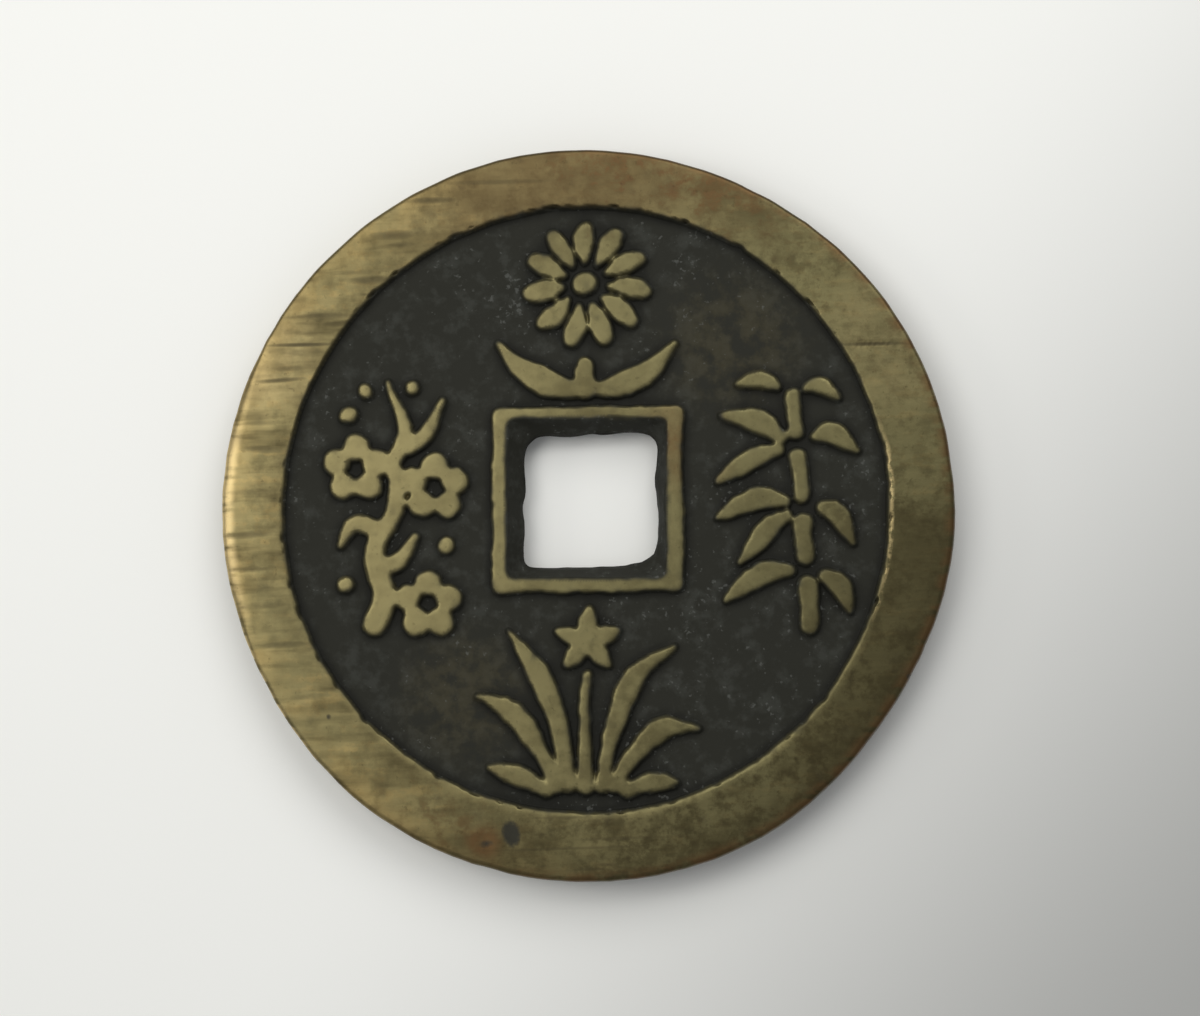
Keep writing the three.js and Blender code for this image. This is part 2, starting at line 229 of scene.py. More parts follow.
class HeightMap:
    """The height of one face of the casting above the parting plane, on a square grid."""

    def __init__(self, tree, side, cell, reach):
        self.cell = cell
        self.reach = reach
        self.count = int(2 * reach / cell) + 1
        steps = np.arange(self.count) * cell - reach
        self.x, self.y = np.meshgrid(steps, steps)
        self.values = np.full((self.count, self.count), np.nan)
        start_height = MIDDLE + side * (COIN_HIGH.z - COIN_LOW.z)
        toward = Vector((0, 0, -side))
        for row, y in enumerate(steps / MM):
            for column, x in enumerate(steps / MM):
                hit = tree.ray_cast(Vector((x, y, start_height)), toward)[0]
                if hit is not None:
                    self.values[row, column] = side * (hit.z - MIDDLE) * MM

    def at(self, x, y, values):
        """Values at the places x and y, read smoothly between the grid's points."""
        column = np.clip((x + self.reach) / self.cell, 1, self.count - 3)
        row = np.clip((y + self.reach) / self.cell, 1, self.count - 3)
        left, below = column.astype(int), row.astype(int)
        across, up = spline_weights(column - left), spline_weights(row - below)
        total = 0
        for i in range(4):
            for j in range(4):
                total = total + up[i] * across[j] * values[below + i - 1, left + j - 1]
        return total

    def blurred(self, values, radius):
        """Values smoothed by a Gaussian of that radius, in millimetres."""
        return gaussian(values, radius / self.cell, radius / self.cell)

    def noise(self, random, size, stretch=1.0):
        """Smooth noise of unit spread, whose features are size across, and stretch times that along x."""
        white = random.standard_normal((self.count, self.count))
        soft = gaussian(white, size * stretch / self.cell / 2, size / self.cell / 2)
        return soft / soft.std()

    def mouth_of_hole(self, relief_level):
        """True inside the hole's mouth: over the clear hole and over the walls that lean back from it."""
        radius = np.hypot(self.x, self.y)
        low = ~(self.values > relief_level - 0.02) & (radius < MOUTH_REACH)
        inside = np.isnan(self.values) & (radius < HOLE_REACH)
        while True:
            grown = inside.copy()
            grown[1:] |= inside[:-1]
            grown[:-1] |= inside[1:]
            grown[:, 1:] |= inside[:, :-1]
            grown[:, :-1] |= inside[:, 1:]
            grown &= low
            if (grown == inside).all():
                return inside
            inside = grown


def spline_weights(share):
    """The weights of four points in a row, for a place between the middle two, at that share of the way."""
    rest = 1 - share
    return (
        rest**3 / 6,
        (3 * share**3 - 6 * share**2 + 4) / 6,
        (3 * rest**3 - 6 * rest**2 + 4) / 6,
        share**3 / 6,
    )


def gaussian(values, radius_x, radius_y):
    """Values smoothed by a Gaussian with those radii, in points of the grid."""
    rows = np.fft.fftfreq(values.shape[0])[:, None]
    columns = np.fft.rfftfreq(values.shape[1])[None, :]
    keep = np.exp(-2 * math.pi**2 * ((rows * radius_y) ** 2 + (columns * radius_x) ** 2))
    return np.fft.irfft2(np.fft.rfft2(values) * keep, s=values.shape)


def smooth_step(low, high, value):
    """0 below low, 1 above high, and a smooth rise between."""
    share = np.clip((value - low) / (high - low), 0, 1)
    return share * share * (3 - 2 * share)


def smooth_least(one, other, radius):
    """The lesser of two heights, with a rounding of that radius where they cross."""
    gap = np.clip(0.5 + 0.5 * (other - one) / radius, 0, 1)
    return other * (1 - gap) + one * gap - radius * gap * (1 - gap)


# Deep file marks on the front rim: the middle, the length, the slope in degrees, the depth and the width.
FILE_GASHES = (
    ((-14.35, 8.55), 3.9, 1, 0.025, 0.15),
    ((-15.5, 6.75), 2.9, 4, 0.022, 0.17),
    ((-14.9, 7.35), 1.8, 3, 0.009, 0.20),
    ((-7.8, 15.85), 2.9, 1, 0.017, 0.22),
    ((-9.75, 14.1), 2.6, 2, 0.017, 0.34),
    ((-9.3, 13.6), 1.6, 2, 0.009, 0.20),
    ((-10.9, 11.8), 2.4, 2, 0.016, 0.30),
    ((-11.9, 12.2), 2.8, 1, 0.006, 0.16),
    ((-13.2, 10.0), 3.0, 1, 0.015, 0.28),
    ((-12.6, 9.6), 1.8, 1, 0.008, 0.18),
    ((-16.3, 3.25), 2.5, -2, 0.015, 0.26),
    ((-16.4, 4.6), 2.2, 1, 0.007, 0.20),
    ((-16.9, 1.1), 2.6, 2, 0.007, 0.22),
    ((-16.9, -1.05), 3.0, 6, 0.015, 0.26),
    ((-17.0, -2.8), 2.4, 2, 0.013, 0.20),
    ((-16.2, -4.6), 2.6, 3, 0.006, 0.22),
    ((-15.2, -6.6), 2.8, 4, 0.013, 0.24),
    ((-13.9, -9.2), 2.4, 4, 0.006, 0.22),
    ((-4.5, 16.75), 6.2, 1, 0.010, 0.18),
    ((14.4, 8.4), 3.6, 1, 0.024, 0.15),
    ((2.2, -16.2), 6.5, 2, 0.009, 0.12),
    ((-0.8, -16.72), 9.0, 2, 0.011, 0.11),
    ((-0.9, -15.2), 4.0, 1, 0.008, 0.11),
    ((1.0, -17.5), 1.4, 1, 0.015, 0.12),
    ((0.3, -17.75), 1.8, 2, 0.012, 0.11),
)
# Cast pits in the front rim, given in the same way.
PITS = (
    ((-3.72, -15.97), 1.70, 98, 0.020, 0.60),
    ((-5.00, -16.48), 0.95, 8, 0.010, 0.28),
    ((-12.9, -10.2), 0.34, 20, 0.010, 0.20),
    ((16.1, -8.2), 0.40, 80, 0.010, 0.28),
)
# Soft patches of another tone on the brass: the middle, the radius, the share they cover and their colour.
PATCHES = (
    ((-2.2, 16.4), 9.0, 0.32, "dirt"),
    ((0.0, 18.4), 5.0, 0.22, "dirt"),
    ((-11.9, 11.9), 4.6, 0.22, "dirt"),
    ((8.9, 16.8), 4.4, 0.54, "dirt"),
    ((17.0, -1.9), 4.6, 0.28, "dirt"),
    ((-4.4, -16.6), 4.5, 0.28, "dirt"),
    ((0.3, 5.4), 4.4, 0.26, "dirt"),
    ((-5.1, -16.4), 1.3, 0.70, "tarnish"),
    ((4.9, 3.4), 3.2, 0.55, "tarnish"),
    # The rubbed patches carry that colour's painted highlight as well as wear.
    ((-17.2, 8.4), 4.8, 0.12, "rubbed"),
    ((15.0, 8.3), 5.0, 0.05, "rubbed"),
)

# The coin's mesh is a grid of rings. These are its points round the coin, and each face's rings up to the
# foot of the rim's inner wall, over that wall and out to the edge. Round the coin and across all its rings,
# the closed grid has a whole number of the largest blocks.
FINE_GRID = (1440, (273, 20, 28))
QUICK_GRID = (480, (95, 9, 17))
QUICK_CELL = 0.16
MAP_MARGIN = 0.6  # how far the height maps reach past the coin
HOLE_REACH, MOUTH_REACH = 5, 8  # distances from the middle that hold the clear hole, and its leaning walls
WALL_FOOT, WALL_HEAD = 0.24, 0.30  # how far inward and outward the rings over the rim's wall reach
SHOULDER_RINGS = 10  # rings over each worn shoulder of the edge
BELLY_RINGS = 9  # rings over the edge between its shoulders
BLOCKS = (2, 4, 8, 16)  # cells along a side of the blocks that may merge
MARKS = {"bare": 0.50, "grime": 0.15}  # what each point also holds, and its weight beside a turn
BACK_WEIGHT = 0.6  # how much a bend of the unseen back counts

WALL_ZONE = 1.2  # how far inside the rim the pull and the raggedness of its inner wall begin
EDGE_NICKS = 0.018  # depth of the small unevenness of the coin's edge
RAGGED_REACH = 0.9  # how far from the hole's inner edge its raggedness dies out


def gash(x, y, middle, length, slope, depth, width):
    """The depth of one file mark at the places x and y."""
    turn = math.radians(slope)
    along = (x - middle[0]) * math.cos(turn) + (y - middle[1]) * math.sin(turn)
    across = (y - middle[1]) * math.cos(turn) - (x - middle[0]) * math.sin(turn)
    taper = 1 - smooth_step(0.55, 1.0, np.abs(along) / (length / 2))
    return depth * taper * np.exp(-((across / (width / 2)) ** 2))


def cast_outline(face, random, shape, raised, rim_start):
    """What stands proud of the field, with soft and wandering outlines, and the places its heights are read
    from."""
    radius = np.hypot(face.x, face.y)
    on_wall = smooth_step(rim_start - WALL_ZONE, rim_start - 0.4, radius)
    pulled = smooth_step(rim_start - WALL_ZONE, rim_start - 0.6, radius)
    wander = shape.wander * MM * (1 - 0.5 * on_wall)
    spread = 1 + shape.spread * MM * pulled / rim_start
    moved_x = face.x * spread + wander * face.noise(random, 1.1)
    moved_y = face.y * spread + wander * face.noise(random, 1.1)
    rough_edge = (0.09 + 0.14 * on_wall) * face.noise(random, 0.26)
    soft = face.blurred(raised, shape.softness * MM)
    on_outline = smooth_step(0, 0.5, 0.5 - abs(soft - 0.5))
    outline = face.at(moved_x, moved_y, soft) + rough_edge * on_outline
    return smooth_step(0.26, 0.74, outline), moved_x, moved_y


def filed_level(face, random, shape, to_edge, proud, rim_start):
    """The height of the tops of the rim and the relief: filed, and worn down along their outlines."""
    radius = np.hypot(face.x, face.y)
    relief = HALF - shape.relief_wear * MM
    level = relief + (HALF - relief) * smooth_step(rim_start - 0.5, rim_start, radius)
    level = level + 0.007 * face.noise(random, 2.6) + 0.0012 * face.noise(random, 0.34, 8)
    inside = smooth_step(0.45, 0.97, face.blurred(proud, 0.16))
    level = level - shape.lip * MM * (1 - inside)
    return level - shape.crown * MM * np.clip(1 - to_edge(face.x, face.y) / 1.3, 0, 1.2) ** 2


def worn_face(face, random, shape, rim_start, to_edge, front):
    """Turns a face's cut heights into a cast, filed and handled surface."""
    field = HALF - shape.field_depth * MM
    relief = HALF - shape.relief_wear * MM
    hole = face.mouth_of_hole(relief)
    cut = np.nan_to_num(face.values, nan=0.0)
    raised = np.clip((cut - field) / (relief - field), 0, 1)
    raised[hole | (np.hypot(face.x, face.y) > rim_start + 0.6)] = 1.0
    face.proud, moved_x, moved_y = cast_outline(face, random, shape, raised, rim_start)

    sand = 0.7 * face.noise(random, 0.55) + 1.3 * face.noise(random, 2.4)
    floor = field + shape.grain * MM * sand
    level = filed_level(face, random, shape, to_edge, face.proud, rim_start)
    scars = np.zeros_like(level)
    if front:
        for mark in FILE_GASHES + PITS:
            scars += gash(face.x, face.y, *mark)
    surface = floor + (level - scars - floor) * face.proud

    wall = face.blurred(np.where(hole, cut, relief + 0.3), 0.04)
    wall = face.at(moved_x, moved_y, wall) + 0.02 * face.noise(random, 0.7)
    face.values = smooth_least(surface, wall, 0.07)
    rubbed = face.blurred(face.proud * ~hole, 0.11) + 0.05 * face.noise(random, 0.30)
    face.bare = smooth_step(0.53, 0.97, rubbed)
    # Grime and painted shade: how much raised casting lies close round a place, highest at the foot of the
    # relief and the rim.
    face.grime = np.clip(face.blurred(face.proud, 0.40) - face.proud, -1, 1)
    return face


def outlines(tree, angles):
    """The hole's centre, its parting line and the coin's edge, as distances from that centre."""

    def reach_of(start, angle):
        hit = tree.ray_cast(start, Vector((math.cos(angle), math.sin(angle), 0)))[0]
        return (hit - start).length

    centre = Vector((0, 0, MIDDLE))
    for axis in range(2):
        turn = axis * math.pi / 2
        forward, backward = reach_of(centre, turn), reach_of(centre, turn + math.pi)
        centre[axis] += (forward - backward) / 2

    parting, edge = [], []
    far = COIN_HIGH.x * 2
    for angle in angles:
        parting.append(reach_of(centre, angle) * MM)
        start = centre + far * Vector((math.cos(angle), math.sin(angle), 0))
        hit = tree.ray_cast(start, (centre - start).normalized())[0]
        edge.append((hit - centre).length * MM)
    return centre.xy * MM, np.array(parting), np.array(edge)


def round_blur(values, turns):
    """Values round a circle, smoothed by a Gaussian of that share of a turn."""
    waves = np.arange(len(values) // 2 + 1)
    keep = np.exp(-2 * (math.pi * waves * turns) ** 2)
    return np.fft.irfft(np.fft.rfft(values) * keep, len(values))


def round_noise(random, count, turns):
    """Smooth noise of unit spread round a circle, whose features take that share of a turn."""
    soft = round_blur(random.standard_normal(count), turns / 2)
    return soft / soft.std()


def rim_wall(face, centre, cos, sin, rim_start):
    """How far the rim's inner wall lies from the hole's centre, all round."""
    reach = np.arange(rim_start + 1.6, rim_start - 1.8, -0.02)  # fine steps inward over the wall
    x, y = centre[0] + reach[:, None] * cos, centre[1] + reach[:, None] * sin
    return round_blur(reach[(face.at(x, y, face.proud) < 0.5).argmax(axis=0)], 0.003)


def face_rings(face, side, steps, hole, wall, edge_run):
    """Rings of one face from the parting line out to the edge, close together over the rim's inner wall."""
    centre, parting, inward, cos, sin = hole
    to_wall, over_wall, over_rim = steps
    foot, head = wall - WALL_FOOT, wall + WALL_HEAD
    distances = [parting * (foot / parting) ** (step / to_wall) for step in range(to_wall)]
    distances += [foot + (head - foot) * (step / over_wall) for step in range(over_wall)]
    distances += [head + (edge_run - head) * (step / over_rim) for step in range(over_rim + 1)]
    rings = []
    for step, distance in enumerate(distances):
        x, y = centre[0] + distance * cos, centre[1] + distance * sin
        from_parting = distance - parting
        height = face.at(x, y, face.values) * smooth_step(-0.03, 0.10, from_parting) * min(step, 1)
        near = np.clip(1 - from_parting / RAGGED_REACH, 0, 1) ** 2
        x = x - inward * near * cos
        y = y - inward * near * sin
        rings.append(np.stack([x, y, side * height], axis=1))
    return rings


def edge_rings(edge, top, bottom, width, shape, centre, cos, sin):
    """Rings round the coin's edge, from the front shoulder over the belly to the back shoulder."""
    height = shape.shoulder * MM
    belly = shape.belly * MM
    profile = []
    turns = np.linspace(0, math.pi / 2, SHOULDER_RINGS + 1)[1:]
    for turn in turns:
        inset = width * (1 - math.sin(turn))
        profile.append((edge - belly - inset, top - height * (1 - math.cos(turn))))
    upper, lower = top - height, bottom + height
    for share in np.linspace(0, 1, BELLY_RINGS + 2)[1:-1]:
        bulge = belly * (1 - (2 * share - 1) ** 2)
        profile.append((edge - belly + bulge, upper + (lower - upper) * share))
    for turn in turns[::-1]:
        inset = width * (1 - math.sin(turn))
        profile.append((edge - belly - inset, bottom + height * (1 - math.cos(turn))))
    rings = []
    for out, level in profile:
        rings.append(np.stack([centre[0] + out * cos, centre[1] + out * sin, level], axis=1))
    return rings


def face_marks(faces, x, y, on_front):
    """What each point holds of its face's marks. The first on_front rings lie on the front."""
    layers = {}
    for name in MARKS:
        front = faces[0].at(x[:on_front], y[:on_front], getattr(faces[0], name))
        back = faces[1].at(x[on_front:], y[on_front:], getattr(faces[1], name))
        layers[name] = np.concatenate([front, back])
    return layers


def coin_mesh(shape, tree, fine):
    """The coin as rings that close round it: out over the front face, round the edge and back under."""
    random = np.random.default_rng(shape.seed)
    cell = shape.cell * MM if fine else QUICK_CELL
    around, steps = FINE_GRID if fine else QUICK_GRID
    reach = COIN_HIGH.x * MM + MAP_MARGIN
    angles = np.arange(around) * 2 * math.pi / around
    cos, sin = np.cos(angles), np.sin(angles)
    centre, parting, edge = outlines(tree, angles)
    edge = round_blur(edge, 0.006) - EDGE_NICKS * np.abs(round_noise(random, around, 0.008))
    width = (shape.shoulder_width + shape.worn_side * smooth_step(0.90, 0.99, -cos)) * MM
    edge_run = edge - shape.belly * MM - width
    parting = round_blur(parting, 0.004)
    wave = round_noise(random, around, 0.040) + 0.15 * round_noise(random, around, 0.014)
    hole = (centre, parting, shape.ragged * MM * wave, cos, sin)

    def to_edge(x, y):
        """How far a place lies inside the coin's edge."""
        out, up = x - centre[0], y - centre[1]
        return np.interp(np.arctan2(up, out), angles, edge, period=2 * math.pi) - np.hypot(out, up)

    rim_start = (COIN_HIGH.x - shape.rim_width) * MM
    faces = []
    for side in (1, -1):
        face = HeightMap(tree, side, cell, reach)
        faces.append(worn_face(face, random, shape, rim_start, to_edge, side > 0))
    walls = [rim_wall(face, centre, cos, sin, rim_start) for face in faces]
    front = face_rings(faces[0], 1, steps, hole, walls[0], edge_run)
    back = face_rings(faces[1], -1, steps, hole, walls[1], edge_run)
    sides = edge_rings(edge, front[-1][:, 2], back[-1][:, 2], width, shape, centre, cos, sin)
    points = np.stack(front + sides + back[:0:-1]) / MM
    points[..., 2] = np.clip(points[..., 2] + MIDDLE, COIN_LOW.z, COIN_HIGH.z)

    x, y = points[..., 0] * MM, points[..., 1] * MM
    layers = face_marks(faces, x, y, len(front) + len(sides) // 2)
    layers["inset"] = to_edge(x, y)
    layers["past_wall"] = np.hypot(x - centre[0], y - centre[1]) - walls[0]
    return patchwork("coin_casting", points, layers, shape.most_faces)


# The rings make a grid of cells that closes both ways. Its flattest cells merge into larger square blocks.


def cell_normals(points):
    """The normal of every cell of a closed grid, as long as twice the cell's area."""
    across = np.roll(points, (-1, -1), axis=(0, 1)) - points
    other = np.roll(points, -1, axis=1) - np.roll(points, -1, axis=0)
    return np.cross(across, other)


def by_fours(values, reduce):
    """One value for each two by two cells of a grid."""
    rows, columns = values.shape[0] // 2, values.shape[1] // 2
    return reduce(values.reshape(rows, 2, columns, 2, *values.shape[2:]), axis=(1, 3))


def bends(points, normals, layers):
    """How much the surface and its marks change over each block, for each size of block."""
    turns = normals / np.linalg.norm(normals, axis=-1, keepdims=True)
    marks = [weight * layers[name] for name, weight in MARKS.items()]
    low = high = np.concatenate([turns, np.stack(marks, axis=-1)], axis=-1)
    grids = []
    for size in BLOCKS:
        low, high = by_fours(low, np.min), by_fours(high, np.max)
        corners = points[::size, ::size]
        width = np.linalg.norm(np.roll(corners, (-1, -1), axis=(0, 1)) - corners, axis=-1)
        weight = np.where(corners[..., 2] > MIDDLE, 1, BACK_WEIGHT)
        grids.append((high - low).max(axis=-1) * width * weight)
    return grids


def merge(bend, tolerance):
    """Which blocks merge, for each size from one cell up: those that bend little, and whose neighbours have
    all merged up to half that size."""
    merged = [np.ones([2 * count for count in bend[0].shape], bool)]
    for grid in bend:
        whole = by_fours(merged[-1], np.all)
        eased = whole.copy()
        for up, along in ((0, 1), (1, 0), (1, 1), (1, -1)):
            eased &= np.roll(whole, (up, along), axis=(0, 1)) & np.roll(whole, (-up, -along), axis=(0, 1))
        merged.append(eased & (grid <= tolerance))
    return merged


def faces_of(merged):
    """The faces of the merged blocks, as corners' numbers in the grid: squares, and the triangles of those
    blocks that have a smaller neighbour on any side."""
    rows, columns = merged[0].shape
    squares, triangles = [], []
    for level, blocks in enumerate(merged):
        size = 2**level
        larger = np.zeros_like(blocks)
        if level + 1 < len(merged):
            larger = merged[level + 1].repeat(2, axis=0).repeat(2, axis=1)
        row, column = np.nonzero(blocks & ~larger)
        count = blocks.shape

        def corner(up, along):
            return (row * size + up) % rows * columns + (column * size + along) % columns

        def smaller(up, along):
            return ~blocks[(row + up) % count[0], (column + along) % count[1]]

        corners = [corner(0, 0), corner(size, 0), corner(size, size), corner(0, size)]
        if size == 1:
            squares.append(np.stack(corners, axis=1))
            continue
        half = size // 2
        middles = [corner(half, 0), corner(size, half), corner(half, size), corner(0, half)]
        split = [smaller(0, -1), smaller(1, 0), smaller(0, 1), smaller(-1, 0)]
        fanned = np.any(split, axis=0)
        squares.append(np.stack(corners, axis=1)[~fanned])
        hub = corner(half, half)
        for side in range(4):
            start, end = corners[side], corners[(side + 1) % 4]
            plain, parted = fanned & ~split[side], split[side]
            triangles.append(np.stack([start, end, hub], axis=1)[plain])
            triangles.append(np.stack([start, middles[side], hub], axis=1)[parted])
            triangles.append(np.stack([middles[side], end, hub], axis=1)[parted])
    return np.concatenate(squares), np.concatenate(triangles)


def patchwork(name, points, layers, most_faces):
    """A smooth mesh of a closed grid of points, with its flattest cells merged until it has no more
    triangles than most_faces."""
    normals = cell_normals(points)
    bend = bends(points, normals, layers)
    tolerance = bend[0].max() * 1e-4
    while True:
        squares, triangles = faces_of(merge(bend, tolerance))
        if 2 * len(squares) + len(triangles) <= most_faces:
            break
        tolerance *= 1.12
    smooth = sum(np.roll(normals, shift, axis=(0, 1)) for shift in ((0, 0), (0, 1), (1, 0), (1, 1)))
    smooth = (smooth / np.linalg.norm(smooth, axis=-1, keepdims=True)).reshape(-1, 3)

    used, corners = np.unique(np.concatenate([squares.ravel(), triangles.ravel()]), return_inverse=True)
    starts = np.concatenate(
        [np.arange(len(squares)) * 4, squares.size + np.arange(len(triangles)) * 3]
    )
    mesh = bpy.data.meshes.new(name)
    mesh.vertices.add(len(used))
    mesh.vertices.foreach_set("co", points.reshape(-1, 3)[used].astype(np.float32).ravel())
    mesh.loops.add(len(corners))
    mesh.loops.foreach_set("vertex_index", corners.astype(np.int32).ravel())
    mesh.polygons.add(len(starts))
    mesh.polygons.foreach_set("loop_start", starts.astype(np.int32))
    mesh.polygons.foreach_set("use_smooth", np.ones(len(starts), bool))
    mesh.update(calc_edges=True)
    mesh.validate()
    mesh.normals_split_custom_set_from_vertices(smooth[used])
    for mark, values in layers.items():
        chosen = values.reshape(-1)[used].astype(np.float32)
        mesh.attributes.new(mark, "FLOAT", "POINT").data.foreach_set("value", chosen)
    return mesh


# Shaders: a wire is one output socket, and sums and products of wires add Math nodes.


class Wire:
    """One output of a node, which ordinary arithmetic joins to others."""

    def __init__(self, shader, socket):
        self.shader = shader
        self.socket = socket

    def math(self, operation, *others):
        return self.shader.add("ShaderNodeMath", {"operation": operation}, [self, *others])

    def __add__(self, other):
        return self.math("ADD", other)

    __radd__ = __add__

    def __mul__(self, other):
        return self.math("MULTIPLY", other)

    __rmul__ = __mul__

    def __sub__(self, other):
        return self.math("SUBTRACT", other)

    def __rsub__(self, other):
        return self.shader.add("ShaderNodeMath", {"operation": "SUBTRACT"}, [other, self])

    def above(self, low, high):
        """0 under low, 1 over high, and a smooth rise between."""
        settings = {"interpolation_type": "SMOOTHSTEP", "clamp": True}
        return self.shader.add("ShaderNodeMapRange", settings, [self, low, high, 0.0, 1.0])

    def most(self, other):
        return self.math("MAXIMUM", other)

    def parts(self):
        """The three parts of a vector."""
        first = self.shader.add("ShaderNodeSeparateXYZ", {}, [self])
        return [Wire(self.shader, socket) for socket in first.socket.node.outputs]


class Shader:
    """A material's node tree and its finished surface."""

    def __init__(self, name):
        self.material = bpy.data.materials.new(name)
        self.material.use_nodes = True
        self.tree = self.material.node_tree
        self.tree.nodes.clear()

    def add(self, kind, settings, sockets, output=0):
        """Adds a node, sets it up, feeds its inputs, listed in order or by name, and returns one output."""
        node = self.tree.nodes.new(kind)
        for key, value in settings.items():
            setattr(node, key, value)
        fed = sockets if isinstance(sockets, dict) else dict(enumerate(sockets))
        for key, value in fed.items():
            self.feed(node.inputs[key], value)
        return Wire(self, node.outputs[output]) if node.outputs else None

    def feed(self, socket, value):
        """Joins a wire to a socket, or sets the socket's own value."""
        if isinstance(value, Wire):
            self.tree.links.new(value.socket, socket)
        else:
            is_colour = socket.type == "RGBA" and len(value) == 3
            socket.default_value = (*value, 1.0) if is_colour else value

    def finish(self, surface):
        """Makes that shader the material's surface, and returns the material."""
        self.add("ShaderNodeOutputMaterial", {}, {"Surface": surface})
        return self.material

    def mix(self, share, low, high):
        """The colour low, mixed with the colour high by share."""
        low_colour, high_colour, mixed_colour = 6, 7, 2  # the node's sockets that hold colours
        sockets = {"Factor": share, low_colour: low, high_colour: high}
        return self.add("ShaderNodeMix", {"data_type": "RGBA"}, sockets, mixed_colour)

    def place(self):
        """The place on the coin, in millimetres from the origin."""
        where = self.add("ShaderNodeTexCoord", {}, {}, "Object")
        return self.add("ShaderNodeVectorMath", {"operation": "SCALE"}, {"Vector": where, "Scale": MM})

    def mark(self, name):
        """A value that the mesh holds at its points."""
        return self.add("ShaderNodeAttribute", {"attribute_name": name}, {}, "Fac")

    def together(self, x, y, z):
        return self.add("ShaderNodeCombineXYZ", {}, [x, y, z])

    def noise(self, where, scale, detail=3.0, roughness=0.55):
        sockets = {"Vector": where, "Scale": scale, "Detail": detail, "Roughness": roughness}
        return self.add("ShaderNodeTexNoise", {}, sockets)

    def stroke(self, x, y, middle, length, slope, width):
        """1 in the middle of a thin tapered stroke at a slope in degrees, falling to 0 at its outline."""
        cos, sin = math.cos(math.radians(slope)), math.sin(math.radians(slope))
        x, y = x - middle[0], y - middle[1]
        along = (x * cos + y * sin) * (2 / length)
        across = (y * cos - x * sin) * (2 / width)
        return (1 - (along * along + across * across)).most(0.0)

    def marked(self, x, y, strokes, spread):
        """How dark any of those marks makes each place, their widths multiplied by spread."""
        strength = None
        for middle, length, slope, depth, width in strokes:
            mark = self.stroke(x, y, middle, length, slope, width * spread) * min(1.0, 0.1 + depth * 36)
            strength = mark if strength is None else strength.most(mark)
        return strength

    def near(self, where, point, radius):
        """1 round a point of the coin's front, in millimetres, falling to 0 at radius from it."""
        ends = [where, (*point, MIDDLE * MM + HALF)]
        gap = self.add("ShaderNodeVectorMath", {"operation": "DISTANCE"}, ends, "Value")
        return 1 - gap.above(radius * 0.25, radius)


def coin_places(shader, shape):
    """What the coin's colours depend on: where a place lies, the marks it holds, and several noises."""
    where = shader.place()
    x, y, z = where.parts()
    filed = y - x * 0.035  # runs across the file marks
    fine = shader.noise(where, 2.6, 4.0)
    mottle = shader.noise(where, 0.9, 4.0, 0.6)
    bands = shader.noise(shader.together(x * 0.18, filed * 1.0, z), 1.0, 1.0, 0.5)
    lines = shader.noise(shader.together(x * 0.38, filed * 2.3, z), 1.0, 2.0, 0.5)
    upright = shader.noise(shader.together(x * 1.0, y * 0.55, z), 0.8, 2.0)
    streaks = (0.50 - bands).above(-0.02, 0.22) * 0.45 + (0.50 - lines).above(-0.02, 0.24) * 0.40
    radius = (x * x + y * y).math("SQRT")
    rim_start = (COIN_HIGH.x - shape.rim_width) * MM
    return SimpleNamespace(
        where=where, x=x, y=y, z=z, filed=filed,
        fine=fine, mottle=mottle, bands=bands, lines=lines,
        broad=shader.noise(where, 0.25, 2.0),
        patchy=shader.noise(where, 0.6, 4.0, 0.65).above(0.38, 0.62),
        streaks=streaks + upright.above(0.44, 0.72) * 0.22,
        on_rim=radius.above(rim_start - 0.2, rim_start + 0.2),
        left=(x * -1.0).above(-2.0, 14.0),
        # The lower right, where the brass gets painted shade and denser dark clouds and blots.
        lower_right=shader.near(where, (9.0, -14.5), 17.0),
        inset=shader.mark("inset"),
        past_wall=shader.mark("past_wall"),
        scars=shader.marked(x, y, FILE_GASHES, 1.7),
        pits=(shader.marked(x, y, PITS, 1.8) + (fine - 0.5) * 0.8).above(0.05, 0.60),
    )


def handled_brass(shader, at, finish):
    """Brass, warm on the left, dull on the right and greenish on the relief, with light file lines; the
    lighter left is partly painted sheen.
    """
    # The brass lightens from right to left, partly from handling and partly as painted sheen.
    handled_and_sheen = (at.x * -1.0 + (at.broad - 0.5) * 14.0).above(-10.0, 17.0)  # from right to left, unevenly
    brass = shader.mix(handled_and_sheen, finish.dull, finish.brass)
    olive = (1 - at.on_rim).most(at.mottle.above(0.40, 0.60) * 0.8).most(at.inset.above(1.0, 2.6) * 0.6)
    brass = shader.mix(olive * 0.50, brass, finish.olive)
    # Ochre lies in broad patches along the outer side of the rim's left half.
    ochre = (at.broad + (at.mottle - 0.5) * 0.5).above(0.34, 0.56)
    ochre = (1 - at.inset.above(0.2, 1.8)) * at.left * ochre
    brass = shader.mix(ochre * 0.50, brass, finish.bright)
    light = (at.lines * 0.5 + at.fine * 0.5 - 0.50).above(0.0, 0.16) * 0.45
    return shader.mix(light * (0.35 + at.left * 0.65) * at.on_rim, brass, finish.bright)


